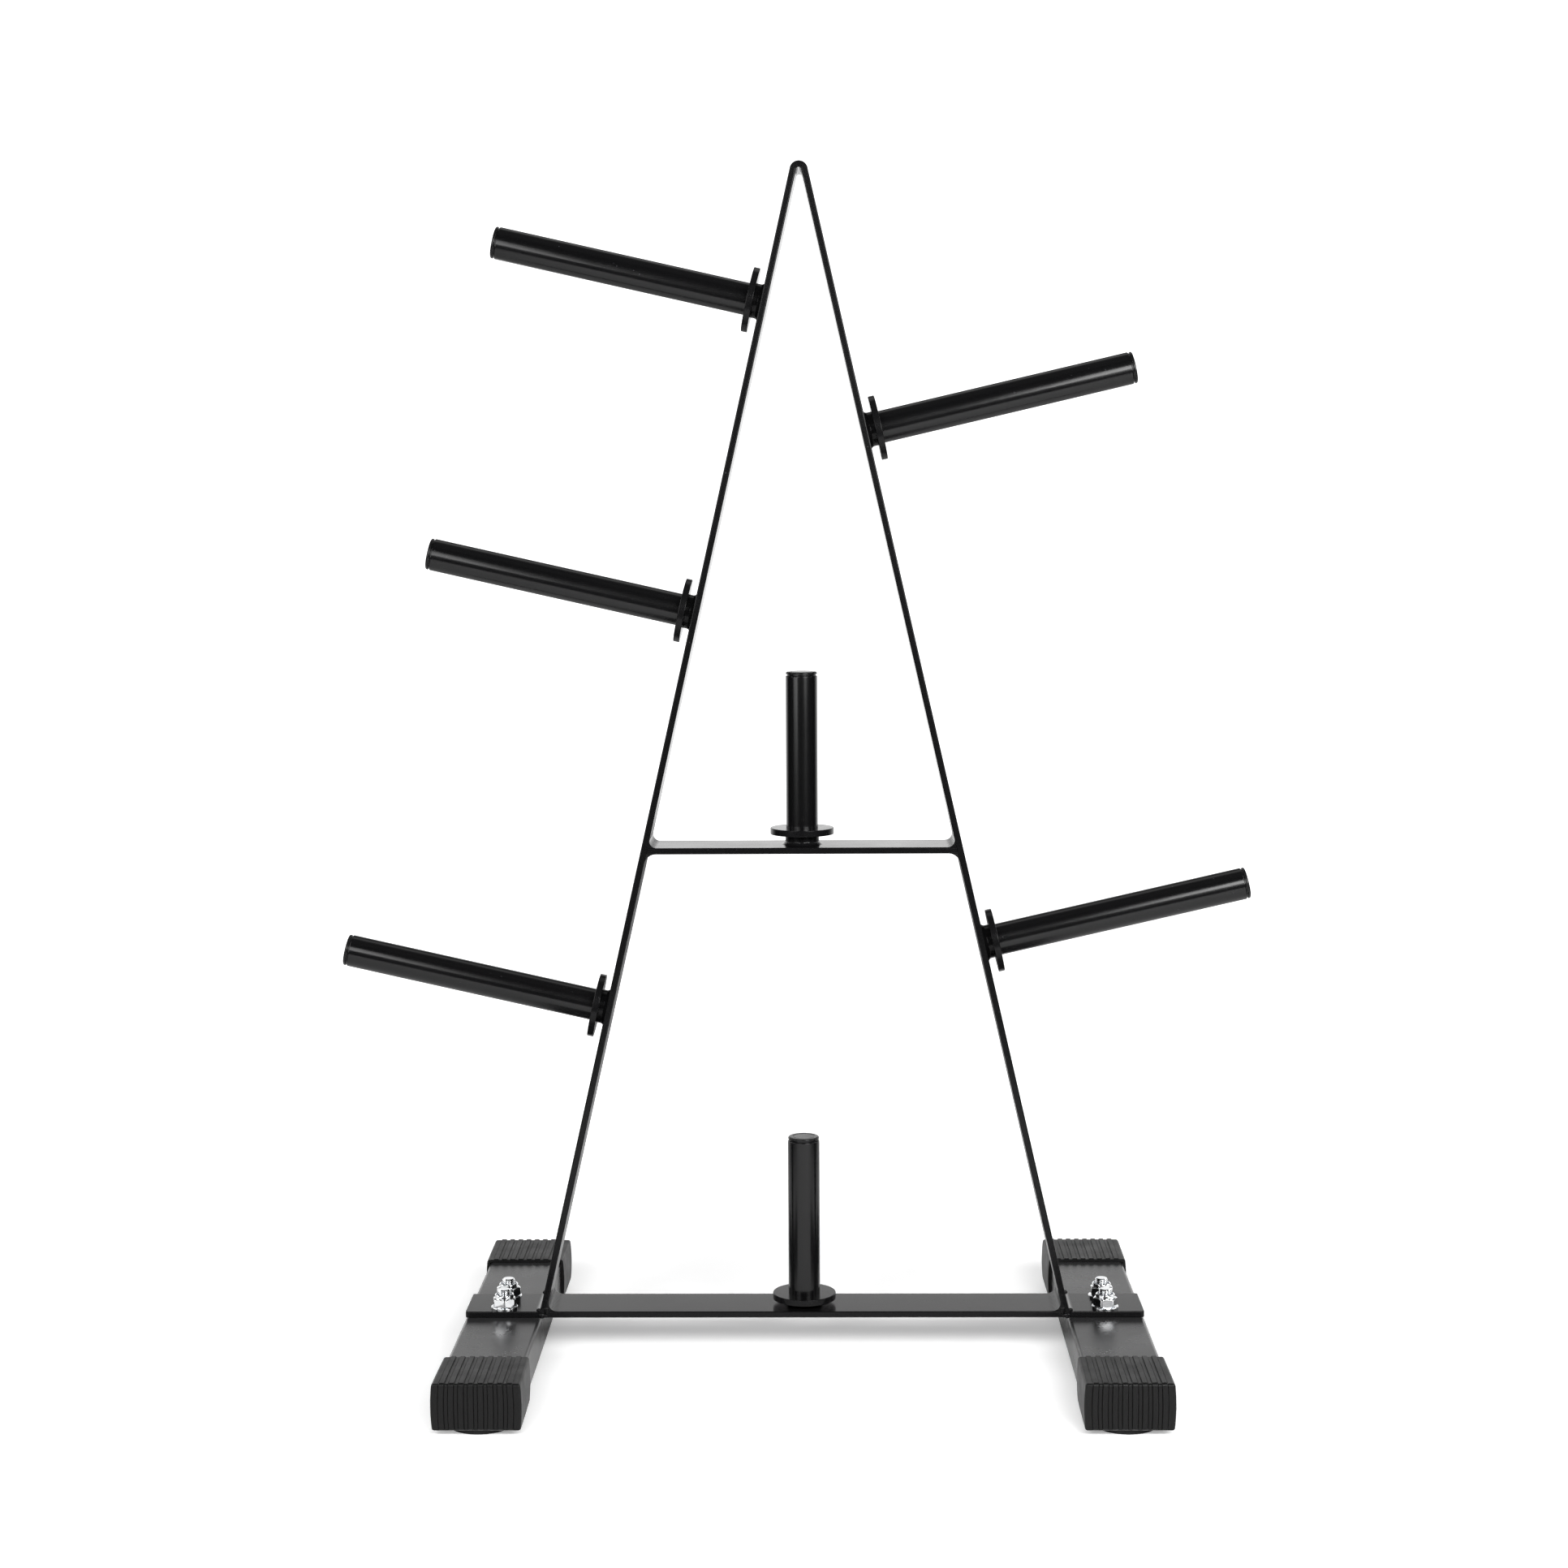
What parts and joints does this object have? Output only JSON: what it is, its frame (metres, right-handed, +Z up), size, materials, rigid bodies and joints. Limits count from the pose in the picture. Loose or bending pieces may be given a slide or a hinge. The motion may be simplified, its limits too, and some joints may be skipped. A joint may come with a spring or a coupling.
{
  "type": "weight plate rack",
  "caption": "A-frame weight plate rack: bent flat bar with crossbars, round angled side pegs and upright posts with stop collars, on tube feet with ribbed end caps and round pads.",
  "frame": {"origin": "on the floor, below the middle of the A-frame", "axes": "+Z up, +X to the right, where the two right-hand pegs are, +Y to the back"},
  "size_m": [0.7136, 0.3918, 0.935],
  "materials": {
    "frame_coat": "gloss black powder coat",
    "peg_coat": "gloss black powder coat",
    "foot_coat": "satin black powder coat",
    "peg_plug": "moulded black plastic",
    "foot_cap_rubber": "matte black rubber-like plastic with fine grain",
    "pad_rubber": "matte black rubber",
    "zinc": "bright zinc plate",
    "nylon": "dark nylon"
  },
  "bodies": {
    "root": {"frame_bar": "frame_coat", "mid_crossbar": "frame_coat", "low_crossbar": "frame_coat", "mid_bar_welds": "frame_coat", "low_bar_welds": "frame_coat", "peg_top_left": "peg_coat", "peg_mid_left": "peg_coat", "peg_low_left": "peg_coat", "peg_top_right": "peg_coat", "peg_low_right": "peg_coat", "collar_top_left": "peg_coat", "collar_mid_left": "peg_coat", "collar_low_left": "peg_coat", "collar_top_right": "peg_coat", "collar_low_right": "peg_coat", "peg_weld_top_left": "peg_coat", "peg_weld_mid_left": "peg_coat", "peg_weld_low_left": "peg_coat", "peg_weld_top_right": "peg_coat", "peg_weld_low_right": "peg_coat", "peg_cap_top_left": "peg_plug", "peg_cap_mid_left": "peg_plug", "peg_cap_low_left": "peg_plug", "peg_cap_top_right": "peg_plug", "peg_cap_low_right": "peg_plug", "mid_post": "peg_coat", "low_post": "peg_coat", "mid_post_collar": "peg_coat", "low_post_collar": "peg_coat", "mid_post_weld": "peg_coat", "low_post_weld": "peg_coat", "mid_post_cap": "peg_plug", "low_post_cap": "peg_plug", "left_foot_tube": "foot_coat", "right_foot_tube": "foot_coat", "left_front_foot_cap": "foot_cap_rubber", "left_rear_foot_cap": "foot_cap_rubber", "right_front_foot_cap": "foot_cap_rubber", "right_rear_foot_cap": "foot_cap_rubber", "left_front_pad": "pad_rubber", "left_rear_pad": "pad_rubber", "right_front_pad": "pad_rubber", "right_rear_pad": "pad_rubber", "foot_bolts": "zinc", "bolt_washers": "zinc", "lock_nuts": "zinc", "nut_inserts": "nylon"}
  },
  "joints": []
}
